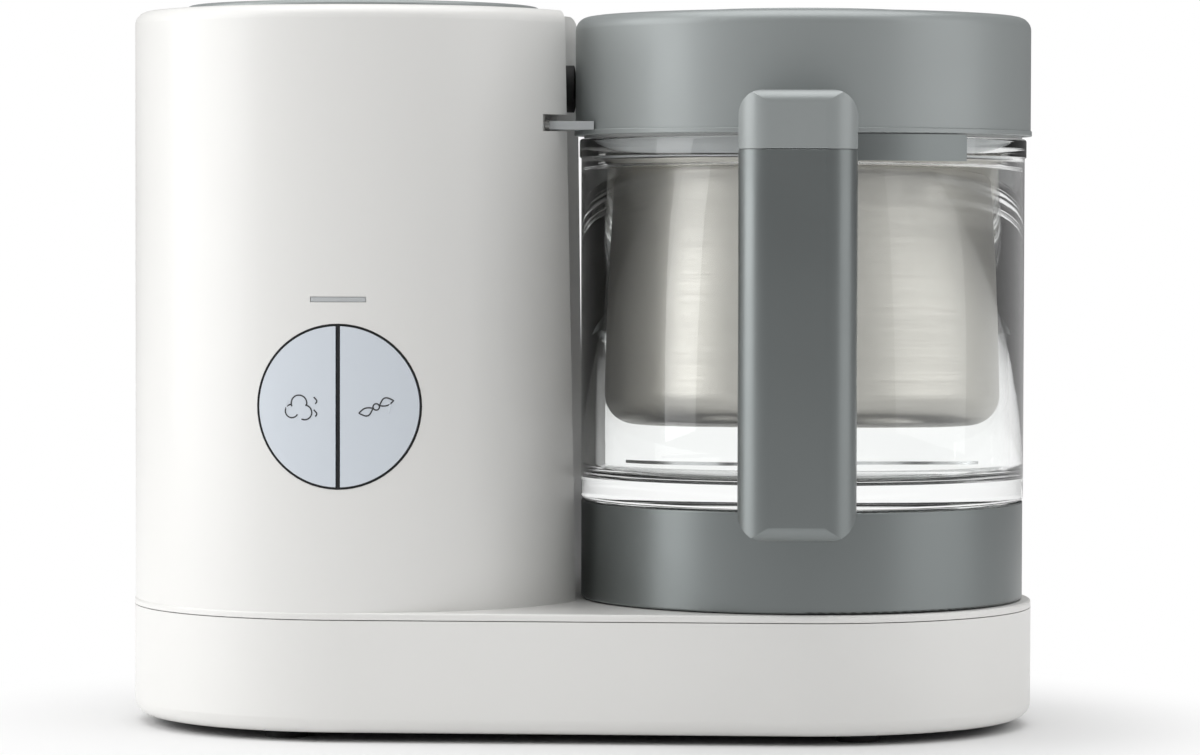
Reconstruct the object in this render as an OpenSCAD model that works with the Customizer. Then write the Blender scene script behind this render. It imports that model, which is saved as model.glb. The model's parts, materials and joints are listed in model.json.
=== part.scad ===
// Baby food maker: a steam-and-blend appliance with a glass bowl on a belt-driven base.
// Millimetres, +Z up. The origin lies on the floor under the middle of the whole object.
// The tower stands at -X, the bowl at +X and the bowl's handle points to -Y.

/* [Body] */
// Distance between the tower's axis and the bowl's axis
axis_gap = 149.5; // [148.5:0.5:158]
// Radius of the plinth's two round ends
plinth_r = 77.75; // [77.5:0.25:80]
// Height of the plinth's lower edge above the floor
foot_h = 3; // [2:0.5:5]
// Height of the seam between plinth and upper housing
seam_z = 40.3; // [39.5:0.1:46]
// Thickness of the deck that the bowl stands on
deck_t = 2.3; // [2:0.1:4]
// Width of the shadow gap along the seam
seam_gap = 0.3; // [0.2:0.1:0.8]
// Wall thickness of the mouldings
wall = 2.6; // [2:0.1:3]
// Rounding of the plinth's lower edge
plinth_round = 5; // [2:0.5:7]
// Thickness of the bottom plate
plate_t = 2.6; // [2:0.1:4]
// Width of the inner ledge that the bottom plate closes against
ledge_w = 6; // [5:0.5:8]
// Radius of a rubber foot
foot_r = 7; // [5:0.5:9]
// Distance of the feet from the end axes along X
foot_x = 19.5; // [10:0.5:24]
// Distance of the feet from the middle line along Y
foot_y = 56; // [40:0.5:57]

/* [Tower] */
// Distance of the tower's wall inside the plinth's
tower_inset = 0.25; // [0.25:0.25:1.5]
// Height of the tower's rim above the lid's top
tower_rise = 1.6; // [1:0.2:8]
// Rounding of the tower's top edge
tower_round = 4.5; // [2:0.5:6]
// Thickness of the tower's top wall
top_wall = 5; // [4.6:0.2:7]
// Radius at the deck of the hollow that the bowl stands in
recess_r = 78.75; // [78.25:0.25:80]
// Growth of that hollow's radius from the deck to the tower's rim
recess_flare = 6.25; // [5:0.25:7]
// Height of the ledge that carries the tank cradle
cradle_z = 150; // [148.5:0.5:156]

/* [Buttons] */
// Height of the middle of the two buttons
button_z = 109.7; // [100:0.1:111]
// Radius of the round pair of buttons
button_r = 26.2; // [22:0.1:27]
// Width of the gap between the two half-round buttons
button_split = 1.5; // [1:0.1:2.5]
// Distance that the buttons stand proud of the tower
button_proud = 0.4; // [0.2:0.1:1]
// Travel of a button
button_travel = 1.5; // [1:0.1:2]
// Width of the dark ring round the buttons
bezel_w = 0.5; // [0.4:0.1:1]
// Radius of a button's stem
stem_r = 4; // [3:0.5:5]
// Height of the indicator slot
indicator_z = 144.6; // [143:0.1:145]
// Length of the indicator slot
indicator_w = 18; // [10:0.5:30]
// Height of the indicator's opening
indicator_h = 1.5; // [1:0.1:2]

/* [Tank] */
// Outer radius of the water tank
tank_r = 58; // [56.5:0.5:59]
// Wall thickness of the water tank
tank_wall = 2.2; // [1.6:0.1:3]
// Radius of the filling hole
fill_r = 55; // [50:0.5:55.5]
// Radius of the tank lid
tank_lid_r = 60; // [57:0.5:61]
// Height of the tank lid above the tower's rim
tank_lid_rise = 2.1; // [1:0.1:3]
// Depth of the recess that the tank lid lies in
lid_recess = 2.4; // [2:0.1:2.8]
// Depth of the tank lid's plug below its recess
plug_d = 6.4; // [4:0.2:8]
// Radius of the tank lid's hinge pin
pin_r = 1.25; // [1:0.05:1.5]
// Radius of the knuckle round the hinge pin
knuckle_r = 2.3; // [2.2:0.1:2.5]
// Width of the knuckle
knuckle_w = 12; // [8:0.5:20]
// Thickness of the heater plate
heater_t = 6; // [4:0.5:8]
// Radius of the heating element's loop
element_r = 38; // [30:0.5:44]
// Thickness of the heating element's tube
element_d = 7; // [5:0.5:7.4]

/* [Drive] */
// Radius of the drive shafts
shaft_r = 4; // [3:0.25:4.5]
// Radius of the motor's pulley
small_pulley_r = 10; // [9:0.5:12]
// Radius of the spindle's pulley
large_pulley_r = 40; // [34:0.5:46]
// Thickness of the drive belt
belt_t = 2.2; // [1.6:0.1:3]
// Width of the drive belt
belt_w = 9; // [6:0.5:9.5]
// Height of the belt's lower edge
belt_z = 13; // [11.5:0.25:14]
// Radius of the motor
motor_r = 34; // [28:0.5:38]
// Length of the motor's can
motor_h = 70; // [50:1:80]
// Thickness of the motor bracket
bracket_t = 3; // [2:0.5:4]
// Height of the motor bracket above the belt
bracket_gap = 6; // [4:0.5:8]
// Radius of the spindle's bushes
bush_r = 7; // [6:0.25:8]
// Reach of the six dogs on the drive coupling
dog_r = 8.6; // [7:0.2:9.4]
// Width of one dog
dog_w = 3.4; // [2.4:0.1:4]
// Length of the dogs
dog_h = 10; // [6:0.5:10.5]

/* [Bowl] */
// Outer radius of the glass bowl
glass_r = 75; // [74:0.25:75.5]
// Wall thickness of the glass bowl
glass_wall = 5; // [4:0.1:5.5]
// Height of the glass bowl above its base ring
glass_h = 122; // [118:0.5:130]
// Thickness of the bowl's floor
glass_floor = 8.5; // [6:0.5:11]
// Depth of the step inside the rim that the basket hangs on
rim_step = 8; // [7.5:0.1:10]
// Width of that step
step_w = 1.8; // [1.2:0.1:2.5]
// Outer radius of the base ring
ring_r = 74.8; // [73.5:0.1:75.5]
// Height of the base ring
ring_h = 33.1; // [32:0.1:40]
// Wall thickness of the base ring
ring_wall = 3; // [2:0.1:4]
// Thickness of the base ring's web
web_t = 4; // [3:0.5:5]
// Radius of the glass foot that sits inside the base ring
neck_r = 66; // [60:0.5:68]
// Depth of that foot
neck_d = 8.2; // [6:0.2:9]

/* [Handle] */
// Width of the handle
handle_w = 38; // [30:0.5:46]
// Distance of the handle's front from the bowl's axis
handle_reach = 108; // [102:0.5:116]
// Depth of the handle from front to back
handle_d = 20; // [16:0.5:22]
// Height of the handle's lower end
handle_z = 68.6; // [64:0.2:72]
// Rounding of the handle's long edges
handle_round = 10; // [7:0.5:11]
// Rounding of the handle's ends
handle_end_round = 9; // [4:0.5:12]
// Angle that the collar reaches round the bowl's neck
collar_angle = 45; // [30:1:60]

/* [Basket] */
// Outer radius of the steaming basket
basket_r = 67; // [62:0.25:67.5]
// Gap between the steaming basket and the blade hub
basket_clear = 3.8; // [3:0.2:12]
// Thickness of the basket's sheet
sheet_t = 0.8; // [0.6:0.1:1.2]
// Rounding of the basket's lower edge
basket_round = 10; // [6:0.5:14]
// Radius of a hole in the basket's floor
basket_hole_r = 2; // [1.2:0.1:2.4]

/* [Blade] */
// Distance of the blade tips from the axis
blade_reach = 60; // [48:0.5:64]
// Thickness of the blades
blade_t = 1.2; // [0.8:0.1:2]
// Radius of the blade hub
hub_r = 12; // [10:0.5:15]
// Height of the blade hub
hub_h = 12; // [9:0.5:13]

/* [Lid] */
// Outer radius of the lid
lid_r = 77.4; // [76:0.1:77.4]
// Height of the lid from its lip to its top
lid_h = 40; // [38:0.5:46]
// Rounding of the lid's top edge
lid_round = 4.5; // [2:0.5:8]
// Width of the bead along the lid's lip
lip_bead = 0.4; // [0.2:0.1:0.8]
// Radius of the raised disc on the lid
disc_r = 40; // [30:0.5:60]
// Height of that disc
disc_h = 1.8; // [1:0.1:3]
// Height of the handle's cap above the lid's lip
cap_rise = 13; // [10:0.5:16]
// Depth of the handle's cap below the lid's lip
cap_drop = 5.7; // [3:0.1:7]
// Height of the steam port above the lid's lip
port_rise = 16; // [12:0.5:22]
// Bore radius of the steam passage
port_r = 4; // [3:0.25:4.5]

/* [Power cord entry] */
// Bore radius of the cord gland
cord_r = 3.6; // [2.5:0.1:4.5]
// Outer radius of the cord gland
gland_r = 6.2; // [5.5:0.1:7.5]
// Distance of the gland from the tower's axis along X
gland_x = 22; // [5:1:40]
// Height of the gland's middle
gland_z = 22; // [16:0.5:28]

/* [Fits] */
// Gap between pieces that lie against each other
seat_gap = 0.2; // [0.1:0.05:0.3]
// Radial clearance of a shaft in its bush
run_fit = 0.05; // [0.02:0.01:0.1]
// Gap beside pieces that slide past each other
slide_gap = 0.3; // [0.2:0.05:0.4]

/* [Hidden] */
$fn = 96;

// Colours
warm_white = [0.93, 0.93, 0.91];
mid_grey = [0.52, 0.55, 0.56];
button_blue = [0.78, 0.84, 0.88];
dark = [0.12, 0.12, 0.13];
steel = [0.75, 0.75, 0.73];
brass = [0.78, 0.62, 0.30];
clear_glass = [0.85, 0.92, 0.93, 0.35];
soft_grey = [0.72, 0.74, 0.75];

// Small overlap that joins shapes within one piece
e = 0.01;
// Fit of pieces that are pressed together
fix_fit = 0.02;

// Body and plinth
axis_x = axis_gap / 2;
axis_y = (handle_reach - plinth_r) / 2;
deck_z = seam_z + deck_t;
plinth_top = seam_z - seam_gap;
plate_z = foot_h + 0.4;
plate_top = plate_z + plate_t;
ledge_z = plate_top + seat_gap;
ledge_top = ledge_z + wall;
open_r = plinth_r - plinth_round - 2;
plate_r = open_r - seat_gap;
screw_head_r = 2.4;
screw_ring_r = open_r - screw_head_r - 1.2;
screw_r = 1.3;
screw_turn = 50;
screw_head_h = 1.4;
peg_r = 3;

// Tower
tower_r = plinth_r - tower_inset;
lid_z = deck_z + slide_gap + ring_h + glass_h + 1;
lid_top = lid_z + lid_h;
tower_top = lid_top + tower_rise;
recess_slope = recess_flare / (tower_top - deck_z);
inner_r = tower_r - wall;
top_wall_z = tower_top - top_wall;
cradle_t = 3;
cradle_ledge_w = 5;
button_back = wall + 0.6;
bezel_in = button_r + 0.25;
bezel_sink = 0.5;
bezel_out = bezel_in + bezel_w;
button_hole_r = bezel_out + 0.1;
stem_back = inner_r - 8;
switch_front = stem_back - button_travel - seat_gap;
switch_size = 6;
switch_h = 4;
board_front = switch_front - switch_h;
spring_front = -sqrt(pow(tower_r - button_back, 2) - pow(button_r / 2 + stem_r + 1.3, 2)) + 0.1;
board_t = 1.6;
board_w = 60;
board_h = 60;
boss_x = 25;
boss_z = 25;
boss_r = 3;

// Interlock at the tower's front corner, where its wall meets the bowl's hollow
notch_z = lid_z + 1;
notch_recess_r = recess_r + recess_slope * (notch_z - deck_z);
corner_reach = (pow(axis_gap, 2) + pow(tower_r, 2) - pow(notch_recess_r, 2)) / (2 * axis_gap);
corner_x = corner_reach - axis_x;
corner_y = axis_y - sqrt(pow(tower_r, 2) - pow(corner_reach, 2));
notch_x = corner_x - 7.2;
notch_low_y = corner_y - 20;
notch_high_y = corner_y + 12;
notch_h = 5.6;
tab_t = 2.8;
tab_travel = 1.5;
tab_x = notch_x + tab_travel + 0.25;
tab_z = notch_z + 0.6;
tab_low_y = corner_y - 6;
tab_high_y = corner_y + 8;
tab_stem_y = corner_y - 3;
tab_stem_r = 1.2;
pocket_wall = 2;
lock_switch_w = 5;
lock_switch_low_y = corner_y - 10;
lock_switch_high_y = corner_y + 1;

// Tank and steam
heater_z = cradle_z + cradle_t + element_d + 1;
heater_top = heater_z + heater_t;
heater_r = tank_r - tank_wall;
thermostat_r = 6;
thermostat_x = element_r - 22;
tank_z = heater_top + seat_gap;
tank_top = top_wall_z - slide_gap;
cradle_wall_r = tank_r + 0.3;
recess_z = tower_top - lid_recess;
tank_lid_z = recess_z + seat_gap;
tank_lid_top = tower_top + tank_lid_rise;
plug_r = fill_r - 0.6;
plug_z = tank_lid_z - plug_d;
pin_y = tank_lid_r + knuckle_r + 1.9;
pin_z = recess_z;
ear_w = 7;
pocket_gap = 0.3;
port_z = lid_z + port_rise;
port_recess_r = recess_r + recess_slope * (port_z - deck_z);
nozzle_r = port_r + 4;
nozzle_face_r = lid_r + slide_gap;

// Drive
bracket_z = belt_z + belt_w + bracket_gap;
bracket_r = motor_r + 14;
pillar_r = 4;
pillar_ring_r = bracket_r - pillar_r - 1;
can_z = bracket_z + bracket_t + seat_gap;
can_top = can_z + motor_h;
cap_t = 8;
can_wall = 2;
rotor_gap = 1;
magnet_t = 5;
armature_r = motor_r - can_wall - magnet_t - rotor_gap - 0.2;
pulley_edge = 1;
belt_lap = 0.3;
pulley_z = belt_z - pulley_edge;
pulley_h = belt_w + 2 * pulley_edge;
groove_pitch = 2;
groove_depth = 0.8;
tube_r = bush_r + 3;
tube_z = belt_z + belt_w + pulley_edge + 2;
tube_top = deck_z - 0.6;
bush_len = 6;
deck_boss_r = 24;
deck_boss_h = 3.4;
deck_hole_r = tube_r + 1;
coupling_z = deck_z + 0.4;
coupling_flange = 4.5;
dog_z = coupling_z + coupling_flange;
dog_top = dog_z + dog_h;
dog_core_r = shaft_r + 1.6;
dog_gap = 0.5;

// Bowl
ring_z = deck_z + slide_gap;
glass_z = ring_z + ring_h;
glass_top = glass_z + glass_h;
glass_in = glass_r - glass_wall;
floor_z = glass_z + glass_floor;
neck_z = glass_z - neck_d;
gasket_t = 1.4;
web_top = neck_z - gasket_t - seat_gap;
web_z = web_top - web_t;
step_z = glass_top - rim_step;
step_r = glass_in + step_w;
rim_bead = 0.6;
bowl_bush_r = shaft_r + 6;
bush_top = floor_z + 3.8;
nut_h = 3;
driven_z = dog_z + 0.7;
driven_top = web_z - 0.6;
hub_z = bush_top + 0.6;

// Handle
handle_back_y = handle_reach - handle_d;
handle_split_y = handle_back_y + 6;
cap_z = lid_z - cap_drop;
cap_top = lid_z + cap_rise;
handle_top = cap_z - seat_gap;
arm_w = 24;
arm_h = 9;
collar_r = glass_r + rim_bead + 0.2;
collar_t = 1.2;
handle_screw_z = [handle_z + 30, handle_top - 30];

// Basket
rim_z = step_z + 0.1;
rim_t = 1.6;
basket_top = rim_z + rim_t;
basket_z = hub_z + hub_h + basket_clear;
basket_floor_r = basket_r - basket_round;

// Lid
lid_body_r = lid_r - lip_bead;
lid_in = lid_body_r - wall;
lip_top = lid_z + 1.8;
lip_groove = 0.4;
liner_t = 2.2;
liner_z = lid_z + 0.2;
liner_r = lid_in - 0.2;
liner_skirt = 7;
liner_skirt_r = step_r - 0.8;

// Shared shapes

// Moves its children onto the tower's axis
module at_tower() translate([-axis_x, axis_y, 0]) children();

// Moves its children onto the bowl's axis
module at_bowl() translate([axis_x, axis_y, 0]) children();

// A cylinder between two heights
module disc(r, z0, z1) translate([0, 0, z0]) cylinder(r = r, h = z1 - z0);

// A tube between two heights
module tube(r_out, r_in, z0, z1) difference() {
    disc(r_out, z0, z1);
    disc(r_in, z0 - 1, z1 + 1);
}

// A box from its lowest to its highest corner
module block(low, high) translate(low) cube(high - low);

// Half of a round body's section, with its outer corners rounded
module puck_profile(r, z0, z1, low = 0, top = 0) {
    translate([0, z0 + low]) square([r, z1 - z0 - low - top]);
    if (low > 0) {
        translate([0, z0]) square([r - low, low + e]);
        translate([r - low, z0 + low]) circle(low);
    }
    if (top > 0) {
        translate([0, z1 - top - e]) square([r - top, top + e]);
        translate([r - top, z1 - top]) circle(top);
    }
}

// A round body with rounded edges
module puck(r, z0, z1, low = 0, top = 0) rotate_extrude() puck_profile(r, z0, z1, low, top);

// A body with two round ends, one about each axis
module stadium(r, z0, z1, low = 0, top = 0) {
    for (side = [-1, 1])
        translate([side * axis_x, axis_y, 0])
            rotate([0, 0, -90 * side])
                rotate_extrude(angle = 180) puck_profile(r, z0, z1, low, top);
    translate([-axis_x, axis_y, 0])
        rotate([90, 0, 90])
            linear_extrude(axis_gap) {
                puck_profile(r, z0, z1, low, top);
                mirror([1, 0]) puck_profile(r, z0, z1, low, top);
            }
}

// A rectangle that starts at y = 0, with its near and far corners rounded
module soft_rect(w, h, near, far) {
    translate([-w / 2, near]) square([w, h - near - far]);
    translate([-w / 2 + near, 0]) square([w - 2 * near, near + e]);
    translate([-w / 2 + far, h - far - e]) square([w - 2 * far, far + e]);
    for (side = [-1, 1]) {
        translate([side * (w / 2 - near), near]) circle(near);
        translate([side * (w / 2 - far), h - far]) circle(far);
    }
}

// A rod along Y that starts at y
module rod_y(r, x, y, z, len) translate([x, y, z]) rotate([-90, 0, 0]) cylinder(r = r, h = len);

// A rod along X that starts at x
module rod_x(r, x, y, z, len) translate([x, y, z]) rotate([0, 90, 0]) cylinder(r = r, h = len);

// Places its children at the six screws of the bottom plate
module at_case_screws() {
    for (end = [-1, 1], turn = [-screw_turn, screw_turn])
        translate([end * axis_x, axis_y, 0])
            rotate([0, 0, turn + (end < 0 ? 180 : 0)])
                translate([screw_ring_r, 0, 0]) children();
    for (side = [-1, 1])
        translate([0, axis_y + side * screw_ring_r, 0]) children();
}

// Places its children at the four feet
module at_feet() for (end = [-1, 1], side = [-1, 1])
    translate([end * (axis_x + foot_x), axis_y + side * foot_y, 0]) children();

// Places its children at the three pillars of the motor bracket
module at_pillars() for (turn = [60, 180, 300])
    rotate([0, 0, turn]) translate([pillar_ring_r, 0, 0]) children();

// Plinth

module plinth_shell() color(warm_white) difference() {
    stadium(plinth_r, foot_h, plinth_top, plinth_round, 0);
    stadium(plinth_r - wall, ledge_top, plinth_top + 1);
    stadium(open_r - ledge_w, foot_h - 1, ledge_top + 1);
    stadium(open_r, foot_h - 1, ledge_z);
    at_case_screws() disc(screw_r + fix_fit, ledge_z - 1, ledge_top + 1);
    at_tower() rod_y(gland_r + 0.1, gland_x, plinth_r - wall - 2, gland_z, wall + 4);
}

module bottom_plate() color(dark) difference() {
    stadium(plate_r, plate_z, plate_top);
    at_feet() disc(peg_r + 0.1, plate_z - 1, plate_top + 1);
    at_case_screws() disc(screw_r + 0.2, plate_z - 1, plate_top + 1);
    at_case_screws() disc(screw_head_r + 0.2, plate_z - 1, plate_z + screw_head_h);
    at_tower() for (i = [-4:4])
        translate([i * 5 - 1, -12, plate_z - 1]) cube([2, 24, plate_t + 2]);
}

module rubber_feet() color(dark) at_feet() {
    disc(foot_r, 0, plate_z - 0.1);
    disc(peg_r, 0, plate_top);
    disc(peg_r + 1, plate_top + 0.1, plate_top + 1.4);
    disc(peg_r, plate_top - e, plate_top + 0.2);
}

module case_screws() color(steel) at_case_screws() {
    disc(screw_head_r, plate_z, plate_z + screw_head_h - 0.1);
    disc(screw_r, plate_z + e, ledge_top - 0.4);
}

module cord_gland() color(dark) at_tower() difference() {
    union() {
        rod_y(gland_r, gland_x, plinth_r - wall - 10, gland_z, wall + 9.8);
        rod_y(gland_r + 1.8, gland_x, plinth_r - wall - 2.4, gland_z, 2.2);
    }
    rod_y(cord_r, gland_x, plinth_r - wall - 11, gland_z, wall + 12);
}

// Upper housing

// The flared hollow that the bowl stands in between two heights, grown by a wall
module recess(grow = 0, z0 = deck_z, z1 = tower_top + 1) at_bowl() translate([0, 0, z0])
    cylinder(r1 = recess_r + grow + recess_slope * (z0 - deck_z),
        r2 = recess_r + grow + recess_slope * (z1 - deck_z), h = z1 - z0);

// The inside of the tower
module tower_hollow() difference() {
    at_tower() disc(inner_r, seam_z - 1, top_wall_z);
    recess(wall, seam_z - 2, top_wall_z + 1);
}

// Cuts its children to the tower's outline
module within_tower() intersection() {
    difference() {
        at_tower() puck(tower_r, seam_z, tower_top, 0, tower_round);
        recess();
    }
    children();
}

// The housing's outer skin with its deck
module housing_skin() difference() {
    union() {
        stadium(plinth_r, seam_z, deck_z, 0, 0.8);
        at_tower() puck(tower_r, seam_z, tower_top, 0, tower_round);
    }
    recess();
    tower_hollow();
}

// Ribs, bosses and ledges on the inside of the housing
module housing_fixings() {
    within_tower() union() {
        difference() {
            at_tower() tube(inner_r + 1, inner_r - cradle_ledge_w, cradle_z - wall - seat_gap,
                cradle_z - seat_gap);
            recess(wall - e);
        }
        at_tower() for (sx = [-1, 1], sz = [-1, 1])
            rod_y(boss_r, sx * boss_x, -sqrt(pow(tower_r - wall / 2, 2) - boss_x * boss_x),
                button_z + sz * boss_z,
                sqrt(pow(tower_r - wall / 2, 2) - boss_x * boss_x) - board_front - seat_gap);
        at_tower() block([-knuckle_w / 2 - ear_w, tank_r + 0.8, top_wall_z - 3],
            [knuckle_w / 2 + ear_w, inner_r + 1, top_wall_z + 1]);
        block([notch_x - pocket_wall, notch_low_y, notch_z - pocket_wall],
            [0, notch_high_y + pocket_wall, notch_z + notch_h + pocket_wall]);
        block([notch_x - pocket_wall - lock_switch_w - 1, lock_switch_low_y - 1,
            notch_z - 2 * pocket_wall], [notch_x, lock_switch_high_y + 1, notch_z - pocket_wall]);
    }
    at_bowl() disc(deck_boss_r, seam_z, deck_z + deck_boss_h);
}

// Everything that passes through the housing
module housing_openings() {
    at_tower() disc(tank_lid_r + 0.6, recess_z, tower_top + 1);
    at_tower() disc(fill_r, top_wall_z - 1, tower_top + 1);
    at_tower() block([-knuckle_w / 2 - pocket_gap, tank_lid_r - 3, pin_z - knuckle_r - pocket_gap],
        [knuckle_w / 2 + pocket_gap, pin_y + knuckle_r + pocket_gap, tower_top + 1]);
    at_tower() rod_x(pin_r + fix_fit, -knuckle_w / 2 - ear_w + 1, pin_y, pin_z,
        knuckle_w + 2 * ear_w - 2);
    at_tower() rod_y(button_hole_r, 0, -tower_r - 1, button_z, tower_r - stem_back + 2);
    at_tower() indicator_slot(0.15);
    at_bowl() rod_x(nozzle_r + 0.1, -port_recess_r - wall - 4, 0, port_z, wall + 8);
    block([notch_x, notch_low_y - 1, notch_z], [1, notch_high_y, notch_z + notch_h]);
    rod_x(tab_stem_r + 0.3, notch_x - pocket_wall - 1, tab_stem_y, tab_z + tab_t / 2,
        pocket_wall + 2);
    at_bowl() disc(deck_hole_r, seam_z - 1, deck_z + deck_boss_h + 1);
}

module upper_housing() color(warm_white) difference() {
    union() {
        housing_skin();
        housing_fixings();
    }
    housing_openings();
}

// Water tank and steam

module tank_cradle() color(soft_grey) difference() {
    at_tower() union() {
        tube(inner_r - 0.3, element_r - 14, cradle_z, cradle_z + cradle_t);
        tube(cradle_wall_r + 2.2, cradle_wall_r, cradle_z, heater_top + 4);
        for (turn = [30, 150, 270])
            rotate([0, 0, turn]) translate([(heater_r + element_r) / 2 + 2, 0, 0])
                disc(3, cradle_z, heater_z - seat_gap);
    }
    recess(wall + slide_gap, cradle_z - 1, heater_top + 5);
}

module heater_plate() color("silver") at_tower() puck(heater_r, heater_z, heater_top, 0, 1);

module heating_element() color(steel) at_tower()
    rotate([0, 0, 120]) rotate_extrude(angle = 300)
        translate([element_r, heater_z - element_d / 2 - 0.1]) circle(element_d / 2);

module thermostats() color(dark) at_tower() for (side = [-1, 1])
    translate([side * thermostat_x, 0, 0]) {
        disc(thermostat_r, heater_z - 4, heater_z - 0.1);
        disc(thermostat_r - 2, heater_z - 7, heater_z - 4 + e);
    }

module water_tank() color(soft_grey) at_tower() difference() {
    puck(tank_r, tank_z, tank_top, 2, 0);
    puck(tank_r - tank_wall, tank_z + tank_wall, tank_top + 1, 1, 0);
    rod_x(port_r - 1, tank_r - tank_wall - 3, 0, port_z, tank_wall + 6);
}

module steam_pipe() color(soft_grey) difference() {
    at_tower() rod_x(port_r + 1.6, tank_r + 0.05, 0, port_z,
        axis_gap - port_recess_r - wall - tank_r - 0.2);
    at_tower() rod_x(port_r - 1, tank_r - 1, 0, port_z, axis_gap - port_recess_r - tank_r + 2);
}

module steam_nozzle() color(dark) difference() {
    at_bowl() rod_x(nozzle_r, -port_recess_r - wall, 0, port_z, port_recess_r + wall - lid_body_r);
    at_bowl() disc(nozzle_face_r, port_z - nozzle_r - 1, port_z + nozzle_r + 1);
    at_bowl() rod_x(port_r, -port_recess_r - wall - 1, 0, port_z, port_recess_r);
}

module tank_lid_pin() color(steel) at_tower()
    rod_x(pin_r, -knuckle_w / 2 - ear_w + 1.2, pin_y, pin_z, knuckle_w + 2 * ear_w - 2.4);

module tank_lid() color(mid_grey) at_tower() difference() {
    union() {
        puck(tank_lid_r, tank_lid_z, tank_lid_top, 0, 1.5);
        disc(plug_r, plug_z, tank_lid_z + e);
        translate([-knuckle_w / 2, tank_lid_r - 4, tank_lid_z])
            cube([knuckle_w, pin_y - tank_lid_r + 4, 1.9]);
        rod_x(knuckle_r, -knuckle_w / 2, pin_y, pin_z, knuckle_w);
    }
    disc(plug_r - wall, plug_z - 1, tank_lid_z);
    tube(plug_r + 1, plug_r - 1.4, plug_z + 2, plug_z + 3.8);
    rod_x(pin_r + run_fit, -knuckle_w / 2 - 1, pin_y, pin_z, knuckle_w + 2);
}

module tank_lid_seal() color(dark) at_tower()
    tube(plug_r + 0.5, plug_r - 1.35, plug_z + 2.1, plug_z + 3.7);

// Motor and belt drive

module motor_bracket() color(steel) at_tower() {
    difference() {
        disc(bracket_r, bracket_z, bracket_z + bracket_t);
        disc(shaft_r + 8, bracket_z - 1, bracket_z + bracket_t + 1);
    }
    at_pillars() disc(pillar_r, plate_top + 0.1, bracket_z + e);
}

module motor_can() color(steel) at_tower() difference() {
    puck(motor_r, can_z, can_top, 3, 0);
    disc(motor_r - can_wall, can_z + can_wall, can_top + 1);
    disc(shaft_r + run_fit, can_z - 1, can_z + can_wall + 1);
}

module motor_magnets() color(dark) at_tower() for (turn = [0, 180])
    rotate([0, 0, turn + 30]) rotate_extrude(angle = 120)
        translate([motor_r - can_wall - 0.1 - magnet_t, can_z + can_wall + 6])
            square([magnet_t, motor_h - can_wall - 16]);

module motor_end_cap() color(dark) at_tower() difference() {
    union() {
        puck(motor_r, can_top + 0.1, can_top + cap_t, 0, 2);
        disc(motor_r - can_wall - 0.1, can_top - 3, can_top + 0.2);
    }
    disc(motor_r - can_wall - 3, can_top - 4, can_top + cap_t - 3);
    disc(shaft_r + run_fit, can_top - 4, can_top + cap_t + 1);
}

module motor_rotor() color(brass) at_tower() {
    disc(shaft_r, pulley_z - 0.6, can_top + cap_t + 1);
    disc(armature_r, can_z + 10, can_top - 14);
    disc(shaft_r + 5, can_top - 14 - e, can_top - 5);
}

// A flanged pulley with grooves round its rim
module grooved_pulley(r, hub) difference() {
    union() {
        disc(r, pulley_z, pulley_z + pulley_h);
        disc(hub, pulley_z - 0.4, pulley_z + pulley_h + 0.6);
    }
    rotate_extrude()
        for (i = [0:floor(belt_w / groove_pitch) - 1])
            translate([r + e, belt_z + groove_pitch * (i + 0.5)])
                polygon([[0, -groove_pitch / 2 + 0.3], [0, groove_pitch / 2 - 0.3],
                    [-groove_depth, 0.1], [-groove_depth, -0.1]]);
    disc(shaft_r + fix_fit, pulley_z - 1, pulley_z + pulley_h + 2);
}

module motor_pulley() color("silver") at_tower() grooved_pulley(small_pulley_r, shaft_r + 3);

module spindle_pulley() color(dark) at_bowl() difference() {
    grooved_pulley(large_pulley_r, shaft_r + 6);
    for (turn = [0:60:300])
        rotate([0, 0, turn]) translate([(large_pulley_r + shaft_r + 3) / 2, 0, pulley_z - 1])
            cylinder(r = (large_pulley_r - shaft_r - 14) / 2, h = pulley_h + 2);
}

// The arc of the belt round one pulley, about the X direction turned by turn
module belt_arc(r, turn, sweep) rotate([0, 0, turn - sweep / 2])
    rotate_extrude(angle = sweep)
        translate([r + run_fit, belt_z]) square([belt_t, belt_w]);

// The belt runs round both pulleys and straight between them
module drive_belt() color(dark) at_tower() {
    lean = asin((large_pulley_r - small_pulley_r) / axis_gap);
    run = sqrt(pow(axis_gap, 2) - pow(large_pulley_r - small_pulley_r, 2));
    belt_arc(small_pulley_r, 180, 180 - 2 * lean);
    translate([axis_gap, 0, 0]) belt_arc(large_pulley_r, 0, 180 + 2 * lean);
    for (side = [0, 1])
        mirror([0, side, 0]) rotate([0, 0, lean])
            translate([-belt_lap, small_pulley_r + run_fit, belt_z])
                cube([run + 2 * belt_lap, belt_t, belt_w]);
}

module spindle_housing() color("silver") at_bowl() difference() {
    union() {
        disc(tube_r, tube_z, tube_top);
        disc(deck_boss_r + 2, seam_z - wall - 0.1, seam_z - 0.1);
        for (turn = [0:60:300])
            rotate([0, 0, turn]) translate([tube_r - 1, -1, seam_z - wall - 8]) cube([12, 2, 8]);
    }
    disc(bush_r + fix_fit, tube_z - 1, tube_top + 1);
}

module spindle_bushes() color(brass) at_bowl() for (z = [tube_z + 0.2, tube_top - bush_len - 0.2])
    tube(bush_r, shaft_r + run_fit, z, z + bush_len);

module spindle_shaft() color(steel) at_bowl() disc(shaft_r, pulley_z - 0.6, dog_top - 1);

// The six-sided star of the drive dogs, grown by a clearance
module dog_star(grow) {
    circle(dog_core_r + grow);
    for (turn = [0, 60, 120])
        rotate(turn) square([2 * (dog_r + grow), dog_w + 2 * grow], center = true);
}

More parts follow.
